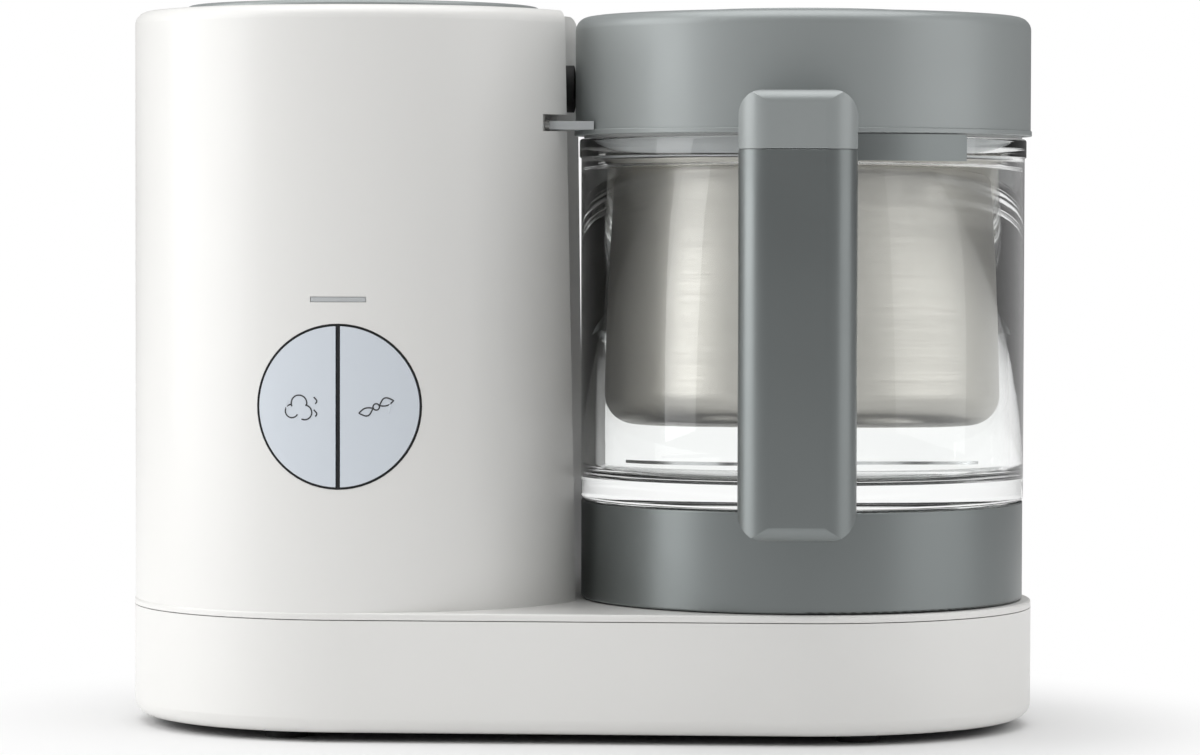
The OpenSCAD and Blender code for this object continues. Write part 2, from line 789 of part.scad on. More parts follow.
module drive_coupling() color(dark) at_bowl() difference() {
    union() {
        disc(dog_r + 0.8, coupling_z, dog_z);
        translate([0, 0, dog_z - e]) linear_extrude(dog_h + e) dog_star(0);
    }
    disc(shaft_r + fix_fit, coupling_z - 1, dog_top - 1 + fix_fit);
}

// Controls

module control_board() color([0.1, 0.35, 0.2]) at_tower() difference() {
    block([-board_w / 2, -board_front, button_z - board_h / 2],
        [board_w / 2, -board_front + board_t, button_z + board_h / 2]);
    for (sx = [-1, 1], sz = [-1, 1])
        rod_y(1.2, sx * boss_x, -board_front - 1, button_z + sz * boss_z, board_t + 2);
}

module button_switches() color(dark) at_tower() for (side = [-1, 1])
    block([side * button_r / 2 - switch_size / 2, -switch_front, button_z - switch_size / 2],
        [side * button_r / 2 + switch_size / 2, -board_front - 0.1, button_z + switch_size / 2]);

// A curved skin along the tower's wall
module tower_skin(out, back) difference() {
    disc(tower_r + out, button_z - bezel_out - 1, button_z + bezel_out + 1);
    disc(tower_r - back, button_z - bezel_out - 2, button_z + bezel_out + 2);
}

// A cylinder through the tower's front at the buttons
module button_disc(r) rod_y(r, 0, -tower_r - 5, button_z, 20);

module button_bezel() color(dark) at_tower() intersection() {
    tower_skin(-bezel_sink, button_back);
    union() {
        difference() {
            button_disc(bezel_out);
            button_disc(bezel_in);
        }
        intersection() {
            button_disc(bezel_in + e);
            block([-button_split / 2 + slide_gap, -tower_r - 1, button_z - 40],
                [button_split / 2 - slide_gap, -tower_r + wall + 1, button_z + 40]);
        }
    }
}

// One half-round button, to the left or right of the split
module half_button(side) at_tower() {
    intersection() {
        tower_skin(button_proud, button_back);
        button_disc(button_r);
        translate([side * (button_split / 2 + 50), -tower_r, button_z]) cube([100, 40, 100], center = true);
    }
    rod_y(stem_r, side * button_r / 2, -tower_r + wall / 2, button_z, tower_r - wall / 2 - stem_back);
}

module steam_button() color(button_blue) half_button(-1);

module blend_button() color(button_blue) half_button(1);

// The return spring round a button's stem
module return_spring(side) color(steel) at_tower() difference() {
    rod_y(stem_r + 1.3, side * button_r / 2, spring_front, button_z, -board_front - 0.1 - spring_front);
    rod_y(stem_r + 0.3, side * button_r / 2, spring_front - 1, button_z, tower_r);
}

module steam_button_spring() return_spring(-1);

module blend_button_spring() return_spring(1);

// The indicator's slot, grown by a clearance
module indicator_slot(grow) {
    block([-indicator_w / 2 - grow, -tower_r - 1, indicator_z - indicator_h / 2 - grow],
        [indicator_w / 2 + grow, -tower_r + wall + 1, indicator_z + indicator_h / 2 + grow]);
}

module indicator_lens() color(steel) at_tower() intersection() {
    indicator_slot(0);
    difference() {
        disc(tower_r - 0.1, indicator_z - 5, indicator_z + 5);
        disc(inner_r, indicator_z - 6, indicator_z + 6);
    }
}

// Interlock

module interlock_tab() color(soft_grey) {
    difference() {
        block([tab_x, tab_low_y, tab_z], [axis_x - lid_r + 16, tab_high_y, tab_z + tab_t]);
        at_bowl() disc(nozzle_face_r, tab_z - 1, tab_z + tab_t + 1);
    }
    rod_x(tab_stem_r, notch_x - pocket_wall - 0.2, tab_stem_y, tab_z + tab_t / 2,
        tab_x - notch_x + pocket_wall + 0.3);
}

module interlock_spring() color(steel) difference() {
    rod_x(tab_stem_r + 0.7, notch_x + 0.1, tab_stem_y, tab_z + tab_t / 2, tab_x - notch_x - 0.2);
    rod_x(tab_stem_r + 0.05, notch_x - 1, tab_stem_y, tab_z + tab_t / 2, tab_x - notch_x + 2);
}

module interlock_switch() color(dark)
    block([notch_x - pocket_wall - lock_switch_w - 0.6, lock_switch_low_y, notch_z - pocket_wall + 0.1],
        [notch_x - pocket_wall - tab_travel - 0.4, lock_switch_high_y, notch_z + notch_h]);

// Bowl

module base_ring() color(mid_grey) at_bowl() difference() {
    puck(ring_r, ring_z, glass_z - 0.1, 0.8, 0.4);
    disc(ring_r - ring_wall, ring_z - 1, web_z);
    disc(neck_r + 0.3, web_top, glass_z + 1);
    tube(ring_r - ring_wall, neck_r + 2.5, web_z - 1, glass_z - 3);
    disc(bowl_bush_r + 0.1, web_z - 1, web_top + 1);
}

module bowl_gasket() color(soft_grey) at_bowl()
    tube(neck_r, neck_r - 6, web_top + 0.1, neck_z - 0.1);

module glass_bowl() color(clear_glass) at_bowl() difference() {
    union() {
        puck(glass_r, glass_z, glass_top, 1.5, 1);
        puck(neck_r, neck_z, glass_z + 1, 1, 0);
        puck(glass_r + rim_bead, step_z + 1.5, glass_top, 0.5, 1);
    }
    puck(glass_in, floor_z, glass_top + 1, 5, 0);
    disc(step_r, step_z, glass_top + 1);
    disc(neck_r - 6, neck_z - 1, glass_z);
    disc(bowl_bush_r + 0.3, glass_z - 1, floor_z + 1);
}

module bowl_bush() color(brass) at_bowl() difference() {
    union() {
        disc(bowl_bush_r, web_z, bush_top);
        disc(bowl_bush_r + 5, web_top + 0.1, web_top + 1.4);
    }
    disc(shaft_r + run_fit, web_z - 1, bush_top + 1);
    disc(shaft_r + 3, bush_top - 4.4, bush_top + 1);
}

module bowl_nut() color(dark) at_bowl()
    tube(bowl_bush_r + 6, bowl_bush_r + 0.1, floor_z + 0.1, floor_z + 0.1 + nut_h);

module shaft_seal() color(dark) at_bowl()
    tube(shaft_r + 2.95, shaft_r + run_fit, bush_top - 4.3, bush_top - 0.1);

// A rounded upright bar in front of the bowl
module handle_form(z0, z1, depth, back, low, top) intersection() {
    translate([0, -handle_reach, z0]) linear_extrude(z1 - z0)
        soft_rect(handle_w, depth, handle_round, back);
    translate([0, -handle_reach + depth, z0]) rotate([90, 0, 0]) linear_extrude(depth)
        soft_rect(handle_w, z1 - z0, low, top);
    translate([-handle_w / 2, -handle_reach + depth, 0]) mirror([0, 1, 0])
        rotate([90, 0, 90]) linear_extrude(handle_w) puck_profile(depth, z0, z1, low / 2, top / 2);
}

// The grip's whole form, before it is parted
module grip_form() handle_form(handle_z, handle_top, handle_d, 4, handle_end_round, 0.6);

module handle() color(mid_grey) at_bowl() difference() {
    intersection() {
        grip_form();
        block([-handle_w, -handle_reach - 1, handle_z - 1],
            [handle_w, -handle_split_y - 0.05, handle_top + 1]);
    }
    difference() {
        translate([0, -handle_reach + wall, handle_z + handle_end_round])
            linear_extrude(handle_top - handle_z - handle_end_round - wall)
                soft_rect(handle_w - 2 * wall, handle_d, handle_round - wall + 1, 0.5);
        for (z = handle_screw_z)
            rod_y(4, 0, -handle_reach, z, handle_d);
    }
    for (z = handle_screw_z)
        rod_y(1.4 + fix_fit, 0, -handle_reach + 3, z, handle_d);
}

module handle_back() color(mid_grey) at_bowl() difference() {
    union() {
        intersection() {
            grip_form();
            block([-handle_w, -handle_split_y + 0.05, handle_z - 1],
                [handle_w, -handle_back_y + 1, handle_top + 1]);
        }
        block([-arm_w / 2, -handle_back_y - 1, handle_z + 2], [arm_w / 2, -ring_r + 6, glass_z - 0.8]);
        block([-arm_w / 2, -handle_back_y - 1, handle_top - arm_h],
            [arm_w / 2, -collar_r + 2, handle_top - 0.4]);
        rotate([0, 0, -90 - asin(handle_w / 2 / collar_r)])
            rotate_extrude(angle = collar_angle + asin(handle_w / 2 / collar_r))
                translate([collar_r, step_z]) square([collar_t, lid_z - slide_gap - step_z]);
    }
    disc(ring_r + 0.1, handle_z - 1, glass_z);
    disc(collar_r, glass_z - e, lid_z);
    for (z = handle_screw_z) {
        rod_y(1.6, 0, -handle_reach, z, handle_d + 1);
        rod_y(3.1, 0, -handle_back_y - 2, z, 3);
    }
}

module handle_screws() color(steel) at_bowl() for (z = handle_screw_z) {
    rod_y(1.4, 0, -handle_reach + 4, z, handle_d - 5);
    rod_y(2.9, 0, -handle_back_y - 1.9, z, 1.6);
}

// Blade

module driven_coupling() color(dark) at_bowl() difference() {
    disc(dog_r + 3.4, driven_z, driven_top);
    translate([0, 0, driven_z - 1]) linear_extrude(dog_top + 0.6 - driven_z + 1) dog_star(dog_gap);
    disc(shaft_r + fix_fit, driven_z, driven_top + 1);
}

module blade_shaft() color(steel) at_bowl() disc(shaft_r, dog_top + 0.6, hub_z + hub_h - 3);

module blade_hub() color(dark) at_bowl() difference() {
    puck(hub_r, hub_z, hub_z + hub_h, 0, 4);
    disc(shaft_r + fix_fit, hub_z - 1, hub_z + hub_h - 3 + fix_fit);
}

// One crescent that reaches out along X from the axis
module crescent(reach, bow, back) difference() {
    translate([reach / 2, -bow]) circle(sqrt(reach * reach / 4 + bow * bow));
    translate([reach / 2, -back]) circle(sqrt(reach * reach / 4 + back * back));
}

// A pair of crescent blades on a collar round the hub
module blade_pair(reach, z) translate([0, 0, z]) linear_extrude(blade_t) difference() {
    union() {
        circle(hub_r + 2.4);
        for (turn = [0, 180])
            rotate(turn) crescent(reach, reach / 4, reach * 0.62);
    }
    circle(hub_r + fix_fit);
}

module lower_blade() color(steel) at_bowl() blade_pair(blade_reach, hub_z + 0.8);

module upper_blade() color(steel) at_bowl() rotate([0, 0, 90])
    blade_pair(blade_reach - 12, hub_z + hub_h / 2);

// Basket

module steam_basket() color(steel) at_bowl() difference() {
    puck(basket_r, basket_z, basket_top, basket_round, 0);
    puck(basket_r - sheet_t, basket_z + sheet_t, basket_top + 1, basket_round - sheet_t, 0);
    disc(basket_floor_r, basket_z - 1, basket_z + sheet_t + 1);
}

module basket_floor() color(steel) at_bowl() difference() {
    disc(basket_floor_r - 0.05, basket_z, basket_z + sheet_t);
    disc(basket_hole_r, basket_z - 1, basket_z + sheet_t + 1);
    for (row = [1:floor(basket_floor_r / 13)], i = [1:6 * row])
        rotate([0, 0, i * 60 / row]) translate([row * 12, 0, 0])
            disc(basket_hole_r, basket_z - 1, basket_z + sheet_t + 1);
}

module basket_rim() color(steel) at_bowl()
    tube(step_r - 0.4, basket_r + fix_fit, rim_z, rim_z + rim_t);

// Lid

module lid_cover() color(mid_grey) at_bowl() difference() {
    union() {
        puck(lid_body_r, lid_z, lid_top, 0, lid_round);
        puck(lid_r, lid_z, lip_top, 0.3, 0.3);
        handle_form(cap_z, lip_top, handle_d, 4, 0.6, lip_groove);
        handle_form(lip_top, cap_top, handle_d, 4, lip_groove, handle_end_round - 1);
        handle_form(lid_z, cap_top, handle_reach - lid_body_r + 3, 0.6, 0.6, handle_end_round - 1);
    }
    disc(lid_in, lid_z - 1, lid_top - wall);
    rod_x(port_r + 2.2, -lid_r - 1, 0, port_z, wall + lip_bead + 4);
}

module lid_disc() color(mid_grey) at_bowl() puck(disc_r, lid_top + e, lid_top + disc_h, 0, disc_h * 0.45);

module lid_liner() color(soft_grey) at_bowl() difference() {
    union() {
        disc(liner_r, liner_z, liner_z + liner_t);
        tube(liner_skirt_r, liner_skirt_r - 2, liner_z - liner_skirt, liner_z + e);
        rod_x(port_r + 2, -lid_body_r + 0.3, 0, port_z, 24);
        translate([-lid_body_r + 20, 0, 0]) disc(port_r + 2, liner_z + e, port_z);
    }
    rod_x(port_r, -lid_r - 1, 0, port_z, 21 + lip_bead);
    translate([-lid_body_r + 20, 0, 0]) disc(port_r, liner_z - 1, port_z);
}

module lid_seal() color(soft_grey) at_bowl()
    tube(lid_in - 0.3, step_r - 0.5, glass_top + 0.1, liner_z - 0.1);

plinth_shell();
bottom_plate();
rubber_feet();
case_screws();
cord_gland();
upper_housing();
tank_cradle();
heater_plate();
heating_element();
thermostats();
water_tank();
steam_pipe();
steam_nozzle();
tank_lid_pin();
tank_lid();
tank_lid_seal();
motor_bracket();
motor_can();
motor_magnets();
motor_end_cap();
motor_rotor();
motor_pulley();
drive_belt();
spindle_housing();
spindle_bushes();
spindle_shaft();
spindle_pulley();
drive_coupling();
control_board();
button_switches();
button_bezel();
steam_button();
blend_button();
steam_button_spring();
blend_button_spring();
indicator_lens();
interlock_tab();
interlock_spring();
interlock_switch();
base_ring();
bowl_gasket();
glass_bowl();
bowl_bush();
bowl_nut();
shaft_seal();
handle();
handle_back();
handle_screws();
driven_coupling();
blade_shaft();
blade_hub();
lower_blade();
upper_blade();
steam_basket();
basket_floor();
basket_rim();
lid_cover();
lid_disc();
lid_liner();
lid_seal();
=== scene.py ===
"""Baby food maker: finishes, small fittings and studio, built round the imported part.

The part's own solids keep their shapes. This script gives each of them a finish, adds the smooth
glass bowl and the marks printed on the buttons, and sets up a plain pale studio.
"""
import json
import logging
import math
from dataclasses import dataclass, field
from enum import Enum

import bmesh
import bpy
from mathutils import Matrix, Vector


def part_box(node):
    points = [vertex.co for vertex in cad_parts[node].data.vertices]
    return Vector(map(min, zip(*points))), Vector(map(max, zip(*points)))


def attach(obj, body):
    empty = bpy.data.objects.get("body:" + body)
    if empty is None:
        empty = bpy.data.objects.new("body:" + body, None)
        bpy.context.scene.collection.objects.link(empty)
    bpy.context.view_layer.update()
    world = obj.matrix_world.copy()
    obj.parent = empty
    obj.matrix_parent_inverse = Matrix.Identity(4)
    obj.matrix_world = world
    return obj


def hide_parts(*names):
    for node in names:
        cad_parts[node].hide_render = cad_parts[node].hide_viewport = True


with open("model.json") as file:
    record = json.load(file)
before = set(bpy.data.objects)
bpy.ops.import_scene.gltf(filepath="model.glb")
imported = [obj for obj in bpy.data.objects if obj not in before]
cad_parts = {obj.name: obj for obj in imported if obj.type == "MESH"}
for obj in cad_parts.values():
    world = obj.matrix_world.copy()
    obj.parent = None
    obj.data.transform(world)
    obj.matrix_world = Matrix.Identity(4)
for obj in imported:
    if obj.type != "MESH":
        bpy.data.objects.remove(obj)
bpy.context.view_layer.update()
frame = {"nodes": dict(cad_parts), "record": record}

LOG = logging.getLogger("baby_food_maker")
MM = 0.001

# The middle range of a noise pattern, which spreads over a finish's whole range
PATTERN_LOW, PATTERN_HIGH = 0.35, 0.65
# How far a finish's roughness wanders to either side
MOULDED_SPREAD, BRUSHED_SPREAD = 0.03, 0.05
# Depths of the fine relief, in metres
GRAIN_DEPTH, SCRATCH_DEPTH, GLASS_WAVE_DEPTH = 0.0002, 0.00005, 0.0004


class Body(Enum):
    """The bodies that the added pieces ride on."""

    ROOT = "root"
    STEAM_BUTTON = "steam_button"
    BLEND_BUTTON = "blend_button"
    BOWL = "bowl"


class Grain(Enum):
    """The direction in which a sheet of steel is brushed."""

    AROUND = (6.0, 6.0, 2600.0)
    ACROSS = (90.0, 2600.0, 90.0)


# ---------------------------------------------------------------- node helpers


def new_group(name: str, inputs: dict[str, float], outputs: list[str]) -> bpy.types.NodeTree:
    """Makes an empty shader group with number inputs and colourless outputs.

    Args:
        name: The group's name.
        inputs: Each input's name and its default value.
        outputs: The names of the outputs, all single numbers.

    Returns:
        The new node tree, with its input and output nodes placed.
    """
    tree = bpy.data.node_groups.new(name, "ShaderNodeTree")
    for label, value in inputs.items():
        socket = tree.interface.new_socket(label, in_out="INPUT", socket_type="NodeSocketFloat")
        socket.default_value = value
    for label in outputs:
        tree.interface.new_socket(label, in_out="OUTPUT", socket_type="NodeSocketFloat")
    tree.nodes.new("NodeGroupInput").name = "in"
    tree.nodes.new("NodeGroupOutput").name = "out"
    return tree


def moulded_grain_group() -> bpy.types.NodeTree:
    """Builds the fine spark texture and slight waviness of a moulded plastic skin.

    Returns:
        A group with a Height and a Variation output.
    """
    tree = new_group("moulded_grain", {"Scale": 900.0, "Wave": 0.2}, ["Height", "Variation"])
    nodes, links = tree.nodes, tree.links
    place = nodes.new("ShaderNodeTexCoord")
    fine = nodes.new("ShaderNodeTexNoise")
    fine.inputs["Detail"].default_value = 3.0
    broad = nodes.new("ShaderNodeTexNoise")
    broad.inputs["Scale"].default_value = 22.0
    broad.inputs["Detail"].default_value = 2.0
    wave = nodes.new("ShaderNodeMath")
    wave.operation = "MULTIPLY"
    total = nodes.new("ShaderNodeMath")
    total.operation = "ADD"
    links.new(place.outputs["Object"], fine.inputs["Vector"])
    links.new(place.outputs["Object"], broad.inputs["Vector"])
    links.new(nodes["in"].outputs["Scale"], fine.inputs["Scale"])
    links.new(broad.outputs["Fac"], wave.inputs[0])
    links.new(nodes["in"].outputs["Wave"], wave.inputs[1])
    links.new(fine.outputs["Fac"], total.inputs[0])
    links.new(wave.outputs["Value"], total.inputs[1])
    links.new(total.outputs["Value"], nodes["out"].inputs["Height"])
    links.new(broad.outputs["Fac"], nodes["out"].inputs["Variation"])
    return tree


def brushed_group() -> bpy.types.NodeTree:
    """Builds the fine parallel scratches of brushed metal.

    Returns:
        A group with a Height and a Variation output.
    """
    tree = new_group("brushed", {"Scale X": 6.0, "Scale Y": 6.0, "Scale Z": 2600.0}, ["Height", "Variation"])
    nodes, links = tree.nodes, tree.links
    place = nodes.new("ShaderNodeTexCoord")
    stretch = nodes.new("ShaderNodeVectorMath")
    stretch.operation = "MULTIPLY"
    scale = nodes.new("ShaderNodeCombineXYZ")
    lines = nodes.new("ShaderNodeTexNoise")
    lines.inputs["Scale"].default_value = 1.0
    lines.inputs["Detail"].default_value = 4.0
    patch = nodes.new("ShaderNodeTexNoise")
    patch.inputs["Scale"].default_value = 30.0
    for axis in "XYZ":
        links.new(nodes["in"].outputs[f"Scale {axis}"], scale.inputs[axis])
    links.new(place.outputs["Object"], stretch.inputs[0])
    links.new(scale.outputs["Vector"], stretch.inputs[1])
    links.new(stretch.outputs["Vector"], lines.inputs["Vector"])
    links.new(place.outputs["Object"], patch.inputs["Vector"])
    links.new(lines.outputs["Fac"], nodes["out"].inputs["Height"])
    links.new(patch.outputs["Fac"], nodes["out"].inputs["Variation"])
    return tree


def blank_material(name: str) -> tuple[bpy.types.Material, bpy.types.ShaderNodeBsdfPrincipled]:
    """Makes a node material that holds only its Principled shader.

    Args:
        name: The material's name.

    Returns:
        The material and its shader node.
    """
    material = bpy.data.materials.new(name)
    material.use_nodes = True
    return material, material.node_tree.nodes["Principled BSDF"]


def vary(material: bpy.types.Material, socket: bpy.types.NodeSocket, source: bpy.types.NodeSocket,
         low: float, high: float) -> None:
    """Drives a shader number by a pattern, between two values.

    Args:
        material: The material that holds the nodes.
        socket: The shader's input.
        source: The pattern's output, from 0 to 1.
        low: The value where the pattern is low.
        high: The value where the pattern is high.
    """
    tree = material.node_tree
    span = tree.nodes.new("ShaderNodeMapRange")
    span.inputs["From Min"].default_value = PATTERN_LOW
    span.inputs["From Max"].default_value = PATTERN_HIGH
    span.inputs["To Min"].default_value = low
    span.inputs["To Max"].default_value = high
    tree.links.new(source, span.inputs["Value"])
    tree.links.new(span.outputs["Result"], socket)


def raise_by(material: bpy.types.Material, shader: bpy.types.Node, height: bpy.types.NodeSocket,
             strength: float, distance: float) -> None:
    """Feeds a height pattern to a shader's normal.

    Args:
        material: The material that holds the nodes.
        shader: The shader node.
        height: The pattern's output.
        strength: How strongly the pattern shows.
        distance: The depth of the relief in metres.
    """
    tree = material.node_tree
    bump = tree.nodes.new("ShaderNodeBump")
    bump.inputs["Strength"].default_value = strength
    bump.inputs["Distance"].default_value = distance
    tree.links.new(height, bump.inputs["Height"])
    tree.links.new(bump.outputs["Normal"], shader.inputs["Normal"])


def two_tone(material: bpy.types.Material, shader: bpy.types.Node, source: bpy.types.NodeSocket,
             first: tuple[float, float, float], second: tuple[float, float, float]) -> None:
    """Colours a shader between two close tones by a pattern.

    Args:
        material: The material that holds the nodes.
        shader: The shader node.
        source: The pattern's output, from 0 to 1.
        first: The colour where the pattern is low.
        second: The colour where the pattern is high.
    """
    tree = material.node_tree
    mix = tree.nodes.new("ShaderNodeMix")
    mix.data_type = "RGBA"
    mix.inputs["A"].default_value = (*first, 1.0)
    mix.inputs["B"].default_value = (*second, 1.0)
    tree.links.new(source, mix.inputs["Factor"])
    tree.links.new(mix.outputs["Result"], shader.inputs["Base Color"])


# ---------------------------------------------------------------- finishes


@dataclass(frozen=True)
class Moulded:
    """A moulded plastic or rubber skin."""

    name: str
    colour: tuple[float, float, float]
    roughness: float = 0.4
    coat: float = 0.0
    grain: float = 0.06
    scale: float = 900.0
    tone: float = 0.02
    metallic: float = 0.0
    coat_roughness: float = 0.12

    def material(self) -> bpy.types.Material:
        """Builds the finish's material."""
        material, shader = blank_material(self.name)
        skin = material.node_tree.nodes.new("ShaderNodeGroup")
        skin.node_tree = bpy.data.node_groups["moulded_grain"]
        skin.inputs["Scale"].default_value = self.scale
        darker = tuple(c * (1.0 - self.tone) for c in self.colour)
        two_tone(material, shader, skin.outputs["Variation"], self.colour, darker)
        vary(material, shader.inputs["Roughness"], skin.outputs["Variation"],
             self.roughness - MOULDED_SPREAD, self.roughness + MOULDED_SPREAD)
        raise_by(material, shader, skin.outputs["Height"], self.grain, GRAIN_DEPTH)
        shader.inputs["Metallic"].default_value = self.metallic
        shader.inputs["Coat Weight"].default_value = self.coat
        shader.inputs["Coat Roughness"].default_value = self.coat_roughness
        return material


@dataclass(frozen=True)
class Brushed:
    """A brushed or turned metal surface."""

    name: str
    colour: tuple[float, float, float]
    grain: Grain
    roughness: float = 0.28
    depth: float = 0.12
    groove_tone: float = 0.94
    anisotropy: float = 0.3

    def material(self) -> bpy.types.Material:
        """Builds the finish's material."""
        material, shader = blank_material(self.name)
        lines = material.node_tree.nodes.new("ShaderNodeGroup")
        lines.node_tree = bpy.data.node_groups["brushed"]
        for axis, value in zip("XYZ", self.grain.value):
            lines.inputs[f"Scale {axis}"].default_value = value
        shader.inputs["Metallic"].default_value = 1.0
        shader.inputs["Anisotropic"].default_value = self.anisotropy
        darker = tuple(c * self.groove_tone for c in self.colour)
        two_tone(material, shader, lines.outputs["Height"], darker, self.colour)
        vary(material, shader.inputs["Roughness"], lines.outputs["Height"],
             self.roughness - BRUSHED_SPREAD, self.roughness + BRUSHED_SPREAD)
        raise_by(material, shader, lines.outputs["Height"], self.depth, SCRATCH_DEPTH)
        return material


@dataclass(frozen=True)
class ClearGlass:
    """Thick clear glass with a faint surface waviness."""

    name: str = "clear_glass"
    colour: tuple[float, float, float] = (0.985, 0.995, 0.99)
    ior: float = 1.47
    wave_scale: float = 60.0
    wave: float = 0.04

    def material(self) -> bpy.types.Material:
        """Builds the finish's material."""
        material, shader = blank_material(self.name)
        skin = material.node_tree.nodes.new("ShaderNodeGroup")
        skin.node_tree = bpy.data.node_groups["moulded_grain"]
        skin.inputs["Scale"].default_value = self.wave_scale
        shader.inputs["Base Color"].default_value = (*self.colour, 1.0)
        shader.inputs["Roughness"].default_value = 0.0
        shader.inputs["Transmission Weight"].default_value = 1.0
        shader.inputs["IOR"].default_value = self.ior
        raise_by(material, shader, skin.outputs["Height"], self.wave, GLASS_WAVE_DEPTH)
        return material


class Finish(Enum):
    """Every finish on the object."""

    WHITE = Moulded("white_housing", (0.84, 0.835, 0.815), 0.36, 0.15, 0.05, 700.0, 0.015)
    GREY = Moulded("grey_moulding", (0.24, 0.26, 0.26), 0.37, 0.1, 0.04, 900.0, 0.03, 0.9)
    LID = Moulded("lid_moulding", (0.345, 0.37, 0.37), 0.44, 0.1, 0.05, 900.0, 0.03, 0.35)
    BUTTON = Moulded("button_skin", (0.70, 0.75, 0.81), 0.38, 0.2, 0.05, 900.0, 0.02)
    DARK = Moulded("dark_moulding", (0.018, 0.018, 0.02), 0.5, 0.0, 0.12, 900.0, 0.05)
    LIGHT = Moulded("light_moulding", (0.52, 0.54, 0.55), 0.4, 0.1, 0.06, 900.0, 0.03)
    BOARD = Moulded("circuit_board", (0.012, 0.10, 0.045), 0.35, 0.4, 0.1, 1500.0, 0.2)
    RUBBER = Moulded("black_rubber", (0.012, 0.012, 0.012), 0.7, 0.0, 0.2, 1200.0, 0.1)
    SILICONE = Moulded("soft_silicone", (0.55, 0.56, 0.56), 0.55, 0.0, 0.08, 900.0, 0.04)
    INK = Moulded("printed_ink", (0.03, 0.032, 0.035), 0.5, 0.0, 0.05, 1500.0, 0.05)
    BASKET = Brushed("basket_steel", (0.47, 0.455, 0.42), Grain.AROUND, 0.40, 0.03)
    BLADE = Brushed("blade_steel", (0.66, 0.67, 0.68), Grain.ACROSS, 0.22, 0.08)
    STEEL = Brushed("turned_steel", (0.62, 0.62, 0.61), Grain.AROUND, 0.30, 0.10)
    CHROME = Brushed("bright_chrome", (0.80, 0.81, 0.82), Grain.ACROSS, 0.12, 0.03)
    ALUMINIUM = Brushed("cast_aluminium", (0.66, 0.67, 0.68), Grain.AROUND, 0.42, 0.15)
    BRONZE = Brushed("bush_bronze", (0.60, 0.42, 0.17), Grain.AROUND, 0.35, 0.10)
    GLASS = ClearGlass()


SLOT_FINISH = {
    "white_plastic": Finish.WHITE, "grey_plastic": Finish.GREY, "button_plastic": Finish.BUTTON,
    "dark_plastic": Finish.DARK, "light_plastic": Finish.LIGHT, "board": Finish.BOARD,
    "glass": Finish.GLASS, "steel": Finish.STEEL, "chrome": Finish.CHROME,
    "aluminium": Finish.ALUMINIUM, "brass": Finish.BRONZE, "rubber": Finish.RUBBER,
    "silicone": Finish.SILICONE,
}
NODE_FINISH = {
    "steam_basket": Finish.BASKET, "basket_floor": Finish.BASKET, "basket_rim": Finish.BASKET,
    "lower_blade": Finish.BLADE, "upper_blade": Finish.BLADE,
    "indicator_lens": Finish.LIGHT, "lid_cover": Finish.LID, "lid_disc": Finish.LID, "tank_lid": Finish.LID,
}


class Paintbox:
    """Makes each finish's material once and hands it out."""

    def __init__(self) -> None:
        """Builds the shared node groups."""
        moulded_grain_group()
        brushed_group()
        self.made: dict[Finish, bpy.types.Material] = {}

    def get(self, finish: Finish) -> bpy.types.Material:
        """Gives a finish's material.

        Args:
            finish: The finish wanted.

        Returns:
            Its material.
        """
        if finish not in self.made:
            self.made[finish] = finish.value.material()
        return self.made[finish]

    def paint(self, piece: bpy.types.Object, finish: Finish) -> None:
        """Gives a piece one finish all over.

        Args:
            piece: The piece to paint.
            finish: Its finish.
        """
        piece.data.materials.clear()
        piece.data.materials.append(self.get(finish))


# ---------------------------------------------------------------- mesh helpers


def add_piece(name: str, mesh: bmesh.types.BMesh, smooth: bool = True) -> bpy.types.Object:
    """Turns a bmesh into a piece at the origin.

    Args:
        name: The piece's name.
        mesh: The bmesh, which is freed.
        smooth: Whether the faces are shaded smooth.

    Returns:
        The new piece.
    """
    data = bpy.data.meshes.new(name)
    for face in mesh.faces:
        face.smooth = smooth
    mesh.to_mesh(data)
    mesh.free()
    piece = bpy.data.objects.new(name, data)
    bpy.context.scene.collection.objects.link(piece)
    return piece


def spun(outline: list[tuple[float, float]], axis: Vector, steps: int = 192) -> bmesh.types.BMesh:
    """Spins a closed half section round an upright axis.

    Args:
        outline: Radius and height of each corner, in metres, in order.
        axis: A point on the axis.
        steps: The number of steps in the full turn.

    Returns:
        The closed bmesh with its normals outwards.
    """
    mesh = bmesh.new()
    corners = [mesh.verts.new((axis.x + r, axis.y, z)) for r, z in outline]
    edges = [mesh.edges.new((a, b)) for a, b in zip(corners, corners[1:] + corners[:1])]
    bmesh.ops.spin(mesh, geom=corners + edges, cent=(axis.x, axis.y, 0.0), axis=(0.0, 0.0, 1.0),
                   angle=2.0 * math.pi, steps=steps, use_merge=True, use_duplicate=False)
    bmesh.ops.remove_doubles(mesh, verts=mesh.verts, dist=1e-6)
    bmesh.ops.recalc_face_normals(mesh, faces=mesh.faces)
    return mesh


def rounded(outline: list[tuple[float, float, float]], steps: int = 6) -> list[tuple[float, float]]:
    """Rounds the corners of a section.

    Args:
        outline: Radius, height and fillet of each corner.
        steps: The number of steps round each fillet.

    Returns:
        The radius and height of each point of the rounded section.
    """
    made: list[tuple[float, float]] = []
    count = len(outline)
    for i, (r, z, fillet) in enumerate(outline):
        here = Vector((r, z))
        if fillet <= 0.0:
            made.append((r, z))
            continue
        before = (Vector(outline[i - 1][:2]) - here).normalized()
        after = (Vector(outline[(i + 1) % count][:2]) - here).normalized()
        half = before.angle(after) / 2.0
        reach = fillet / math.tan(half)
        centre = here + (before + after).normalized() * (fillet / math.sin(half))
        first = here + before * reach - centre
        last = here + after * reach - centre
        turn = first.angle_signed(last)
        for k in range(steps + 1):
            arm = first.copy()
            arm.rotate(Matrix.Rotation(-turn * k / steps, 2))
            made.append(tuple(centre + arm))
    return made


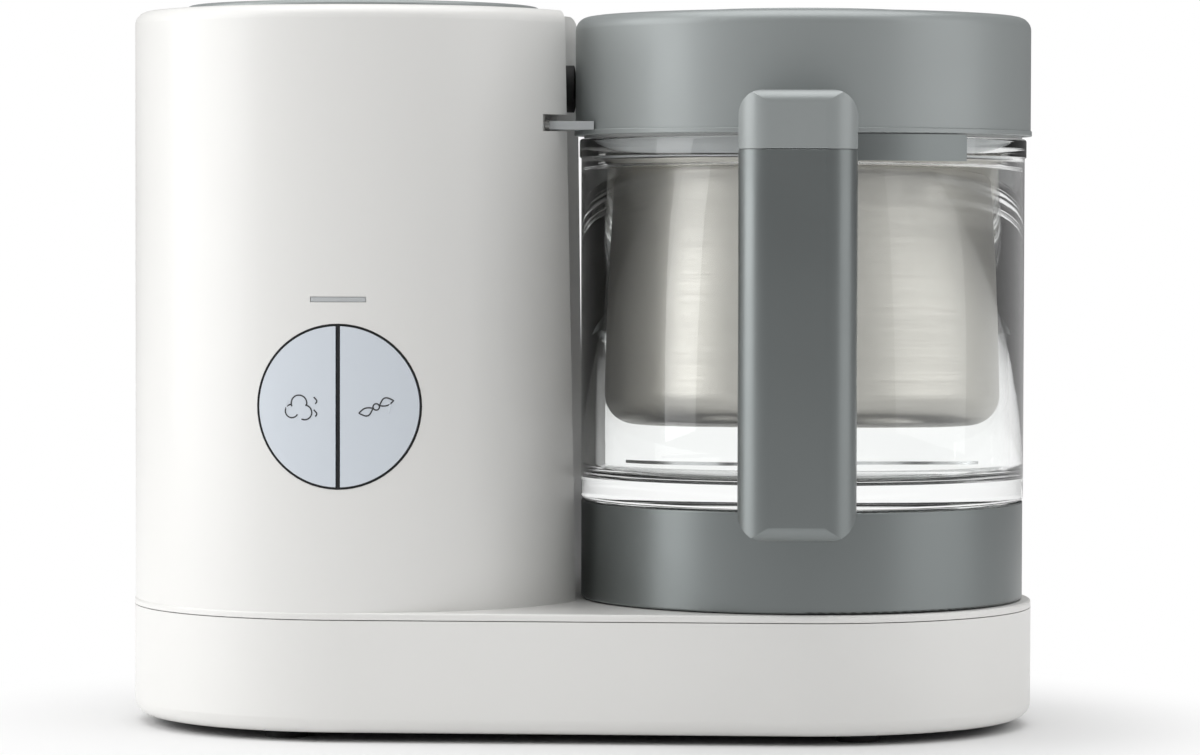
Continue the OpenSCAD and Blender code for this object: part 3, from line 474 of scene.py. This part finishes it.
def apply_curve(curve: bpy.types.Object) -> bpy.types.Object:
    """Turns a curve into a mesh piece at the origin.

    Args:
        curve: The curve object, which is removed.

    Returns:
        The mesh piece, with the curve's name.
    """
    name = curve.name
    curve.name = name + "_path"
    graph = bpy.context.evaluated_depsgraph_get()
    data = bpy.data.meshes.new_from_object(curve.evaluated_get(graph))
    piece = bpy.data.objects.new(name, data)
    bpy.context.scene.collection.objects.link(piece)
    bpy.data.objects.remove(curve)
    for polygon in data.polygons:
        polygon.use_smooth = True
    return piece


def middle(node: str) -> Vector:
    """Gives the middle of a node's box.

    Args:
        node: The node's name.

    Returns:
        The middle point in metres.
    """
    low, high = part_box(node)
    return (low + high) / 2.0


# ---------------------------------------------------------------- sub-assemblies


@dataclass
class SubAssembly:
    """A group of pieces that ride on one body."""

    paints: Paintbox
    body: Body = Body.ROOT
    pieces: list[bpy.types.Object] = field(default_factory=list)

    def keep(self, piece: bpy.types.Object, finish: Finish, slot: str) -> bpy.types.Object:
        """Dresses a piece and lets it ride on the sub-assembly's body.

        Args:
            piece: The new piece.
            finish: Its finish.
            slot: The record's material slot; not used.

        Returns:
            The same piece.
        """
        self.paints.paint(piece, finish)
        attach(piece, self.body.value)
        self.pieces.append(piece)
        LOG.info("%s on %s: %d faces", piece.name, self.body.value, len(piece.data.polygons))
        return piece

    def build(self) -> None:
        """Builds the pieces. Each sub-assembly has its own."""


@dataclass
class GlassBowl(SubAssembly):
    """The thick clear bowl with its foot, step and rim bead."""

    body: Body = Body.BOWL
    radius: float = 75.0 * MM
    wall: float = 5.0 * MM
    step_width: float = 1.8 * MM
    step_depth: float = 8.0 * MM
    bead: float = 0.6 * MM
    bead_depth: float = 6.5 * MM
    foot_radius: float = 66.0 * MM
    foot_depth: float = 8.2 * MM
    foot_width: float = 6.0 * MM
    floor: float = 8.5 * MM
    hole_radius: float = 10.3 * MM

    def build(self) -> None:
        """Spins the glass as one smooth closed wall."""
        low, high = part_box("glass_bowl")
        axis = middle("base_ring")
        base = low.z + self.foot_depth
        inside = self.radius - self.wall
        step = inside + self.step_width
        outline = rounded([
            (self.foot_radius - self.foot_width, low.z, 0.0008),
            (self.foot_radius, low.z, 0.0008),
            (self.foot_radius, base, 0.0),
            (self.radius, base, 0.0015),
            (self.radius, high.z - self.bead_depth, 0.0),
            (self.radius + self.bead, high.z - self.bead_depth + 0.0003, 0.0003),
            (self.radius + self.bead, high.z, 0.001),
            (step, high.z, 0.0006),
            (step, high.z - self.step_depth, 0.0),
            (inside, high.z - self.step_depth, 0.0006),
            (inside, base + self.floor, 0.005),
            (self.hole_radius, base + self.floor, 0.0005),
            (self.hole_radius, base, 0.0),
            (self.foot_radius - self.foot_width, base, 0.0),
        ])
        bowl = add_piece("smooth_glass_bowl", spun(outline, axis, 256))
        self.keep(bowl, Finish.GLASS, "glass")
        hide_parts("glass_bowl")


@dataclass
class ButtonMark(SubAssembly):
    """The line symbol printed on one half-round button."""

    side: int = -1
    node: str = "steam_button"
    line: float = 0.28 * MM
    size: float = 5.2 * MM
    sink: float = 0.12 * MM
    shift: float = 1.0 * MM

    def strokes(self) -> list[list[tuple[float, float]]]:
        """Gives the symbol's lines, each a list of points in units of its size."""
        return []

    def build(self) -> None:
        """Draws the strokes as fine tubes and lays them on the button's curved face."""
        low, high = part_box(self.node)
        tower = middle("water_tank")
        radius = tower.y - low.y
        centre_x = (low.x + high.x) / 2.0 - self.side * self.shift
        centre_z = (low.z + high.z) / 2.0
        data = bpy.data.curves.new(self.node + "_mark", "CURVE")
        data.dimensions = "3D"
        data.bevel_depth = self.line
        data.bevel_resolution = 2
        data.use_fill_caps = True
        for stroke in self.strokes():
            spline = data.splines.new("POLY")
            spline.points.add(len(stroke) - 1)
            for point, (u, v) in zip(spline.points, stroke):
                point.co = (centre_x + u * self.size, 0.0, centre_z + v * self.size, 1.0)
        curve = bpy.data.objects.new(self.node + "_mark", data)
        bpy.context.scene.collection.objects.link(curve)
        mark = apply_curve(curve)
        for vertex in mark.data.vertices:
            across = vertex.co.x - tower.x
            face = tower.y - math.sqrt(radius * radius - across * across)
            vertex.co.y = face + self.sink + vertex.co.y
        self.keep(mark, Finish.INK, "dark_plastic")


@dataclass
class SteamMark(ButtonMark):
    """A puff of steam with two rising wisps."""

    body: Body = Body.STEAM_BUTTON

    def strokes(self) -> list[list[tuple[float, float]]]:
        """Gives the cloud's three lobes and the wisps beside it."""
        lobes = [(-0.52, -0.28, 0.42, 95, 330), (0.30, -0.36, 0.46, -115, 85), (-0.06, 0.22, 0.50, -12, 205)]
        made = []
        for x, z, r, start, end in lobes:
            angles = [math.radians(start + (end - start) * i / 16) for i in range(17)]
            made.append([(x + r * math.cos(a), z + r * math.sin(a)) for a in angles])
        for offset in (-0.18, 0.18):
            made.append([(0.98 + 0.10 * math.sin(4.2 * t), offset * 2.2 + 0.42 * (t - 0.5))
                         for t in [i / 12 for i in range(13)]])
        return made


@dataclass
class BlendMark(ButtonMark):
    """Two curved blades, crossing at a hub."""

    body: Body = Body.BLEND_BUTTON
    side: int = 1
    node: str = "blend_button"

    def strokes(self) -> list[list[tuple[float, float]]]:
        """Gives the outlines of two leaf-shaped blades and the hub's ring."""
        made = []
        for turn in (0.35, 0.35 + math.pi):
            leaf = []
            for i in range(33):
                t = i / 32.0
                along = 0.22 + 0.92 * (1.0 - abs(2.0 * t - 1.0))
                across = 0.34 * math.sin(math.pi * (1.0 - abs(2.0 * t - 1.0)))
                across *= 1.0 if t < 0.5 else -0.45
                leaf.append((along * math.cos(turn) - across * math.sin(turn),
                             along * math.sin(turn) + across * math.cos(turn)))
            made.append(leaf)
        made.append([(0.2 * math.cos(a), 0.2 * math.sin(a))
                     for a in [2.0 * math.pi * i / 20 for i in range(21)]])
        return made


def dress_frame(paints: Paintbox) -> None:
    """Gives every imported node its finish, from its material slot or its own entry.

    Args:
        paints: The materials.
    """
    slots = {row["node"]: row["material_slot"] for row in frame["record"]["subparts"]}
    for name, piece in frame["nodes"].items():
        paints.paint(piece, NODE_FINISH.get(name, SLOT_FINISH[slots[name]]))


# ---------------------------------------------------------------- studio


@dataclass
class Softbox:
    """One rectangular lamp that faces the object."""

    name: str
    place: tuple[float, float, float]
    size: tuple[float, float]
    power: float
    aim: tuple[float, float, float] = (0.0, 0.0, 0.12)

    def build(self) -> None:
        """Places the lamp and turns it to its aim."""
        data = bpy.data.lights.new(self.name, "AREA")
        data.shape = "RECTANGLE"
        data.size, data.size_y = self.size
        data.energy = self.power
        lamp = bpy.data.objects.new(self.name, data)
        lamp.location = self.place
        lamp.rotation_euler = (Vector(self.aim) - Vector(self.place)).to_track_quat("-Z", "Y").to_euler()
        bpy.context.scene.collection.objects.link(lamp)


@dataclass
class Studio:
    """The floor, the pale world, the lamps and the camera."""

    floor_half: float = 4.0
    floor_tone: float = 0.82
    floor_roughness: float = 0.8
    floor_shine: float = 0.1
    fade_start: float = 0.13
    fade_end: float = 0.25
    world_level: float = 0.32
    gloss_level: float = 0.15
    lens: float = 140.3
    camera_place: tuple[float, float, float] = (0.0980, -1.5736, 0.1710)
    pitch_down: float = 1.945
    turn_left: float = 3.315
    roll: float = -0.126

    def build_floor(self) -> None:
        """Lays the pale floor, which shows the shadow near the object and fades to white around it."""
        mesh = bmesh.new()
        bmesh.ops.create_grid(mesh, x_segments=1, y_segments=1, size=self.floor_half)
        floor = add_piece("floor", mesh, smooth=False)
        material, shader = blank_material("floor")
        tree = material.node_tree
        shader.inputs["Base Color"].default_value = (*[self.floor_tone] * 3, 1.0)
        shader.inputs["Roughness"].default_value = self.floor_roughness
        shader.inputs["Specular IOR Level"].default_value = self.floor_shine
        place = tree.nodes.new("ShaderNodeTexCoord")
        reach = tree.nodes.new("ShaderNodeVectorMath")
        reach.operation = "LENGTH"
        fade = tree.nodes.new("ShaderNodeMapRange")
        fade.interpolation_type = "SMOOTHSTEP"
        fade.inputs["From Min"].default_value = self.fade_start
        fade.inputs["From Max"].default_value = self.fade_end
        path = tree.nodes.new("ShaderNodeLightPath")
        seen = tree.nodes.new("ShaderNodeMath")
        seen.operation = "MAXIMUM"
        share = tree.nodes.new("ShaderNodeMath")
        share.operation = "MULTIPLY"
        glow = tree.nodes.new("ShaderNodeEmission")
        both = tree.nodes.new("ShaderNodeMixShader")
        tree.links.new(place.outputs["Object"], reach.inputs[0])
        tree.links.new(reach.outputs["Value"], fade.inputs["Value"])
        tree.links.new(path.outputs["Is Camera Ray"], seen.inputs[0])
        tree.links.new(path.outputs["Is Transmission Ray"], seen.inputs[1])
        tree.links.new(fade.outputs["Result"], share.inputs[0])
        tree.links.new(seen.outputs["Value"], share.inputs[1])
        tree.links.new(share.outputs["Value"], both.inputs["Fac"])
        tree.links.new(shader.outputs["BSDF"], both.inputs[1])
        tree.links.new(glow.outputs["Emission"], both.inputs[2])
        tree.links.new(both.outputs["Shader"], tree.nodes["Material Output"].inputs["Surface"])
        floor.data.materials.append(material)

    def build_world(self) -> None:
        """Sets an even sky: white to the camera and through glass, dim in mirrors, dim as light."""
        world = bpy.data.worlds.new("studio")
        world.use_nodes = True
        tree = world.node_tree
        sky = tree.nodes["Background"]
        sky.inputs["Color"].default_value = (1.0, 1.0, 1.0, 1.0)
        path = tree.nodes.new("ShaderNodeLightPath")
        seen = tree.nodes.new("ShaderNodeMath")
        seen.operation = "MAXIMUM"
        mirrored = tree.nodes.new("ShaderNodeMapRange")
        mirrored.inputs["To Min"].default_value = self.world_level
        mirrored.inputs["To Max"].default_value = self.gloss_level
        level = tree.nodes.new("ShaderNodeMapRange")
        level.inputs["To Max"].default_value = 1.0
        tree.links.new(path.outputs["Is Camera Ray"], seen.inputs[0])
        tree.links.new(path.outputs["Is Transmission Ray"], seen.inputs[1])
        tree.links.new(path.outputs["Is Glossy Ray"], mirrored.inputs["Value"])
        tree.links.new(mirrored.outputs["Result"], level.inputs["To Min"])
        tree.links.new(seen.outputs["Value"], level.inputs["Value"])
        tree.links.new(level.outputs["Result"], sky.inputs["Strength"])
        bpy.context.scene.world = world

    def build_lights(self) -> None:
        """Hangs the three softboxes."""
        Softbox("key_left", (-1.57, -0.30, 0.60), (1.5, 1.7), 20.0).build()
        Softbox("fill_right", (1.52, -0.40, 0.60), (1.4, 1.4), 6.5).build()
        Softbox("top", (0.0, -0.1, 2.0), (2.5, 2.0), 34.0).build()

    def build_camera(self) -> None:
        """Places the camera at its fitted view."""
        data = bpy.data.cameras.new("camera")
        data.lens = self.lens
        data.sensor_width = 36.0
        data.clip_start = 0.05
        camera = bpy.data.objects.new("camera", data)
        camera.location = self.camera_place
        camera.rotation_euler = (math.radians(90.0 - self.pitch_down), math.radians(self.roll),
                                 math.radians(self.turn_left))
        bpy.context.scene.collection.objects.link(camera)
        bpy.context.scene.camera = camera

    def build(self) -> None:
        """Builds the whole studio."""
        self.build_floor()
        self.build_world()
        self.build_lights()
        self.build_camera()
        bpy.context.scene.view_settings.view_transform = "Standard"


def main() -> None:
    """Dresses the part, adds the fittings and sets up the studio."""
    logging.basicConfig(level=logging.INFO, format="%(name)s: %(message)s")
    paints = Paintbox()
    dress_frame(paints)
    for group in (GlassBowl(paints), SteamMark(paints), BlendMark(paints)):
        group.build()
    Studio().build()


if __name__ == "__main__":
    main()
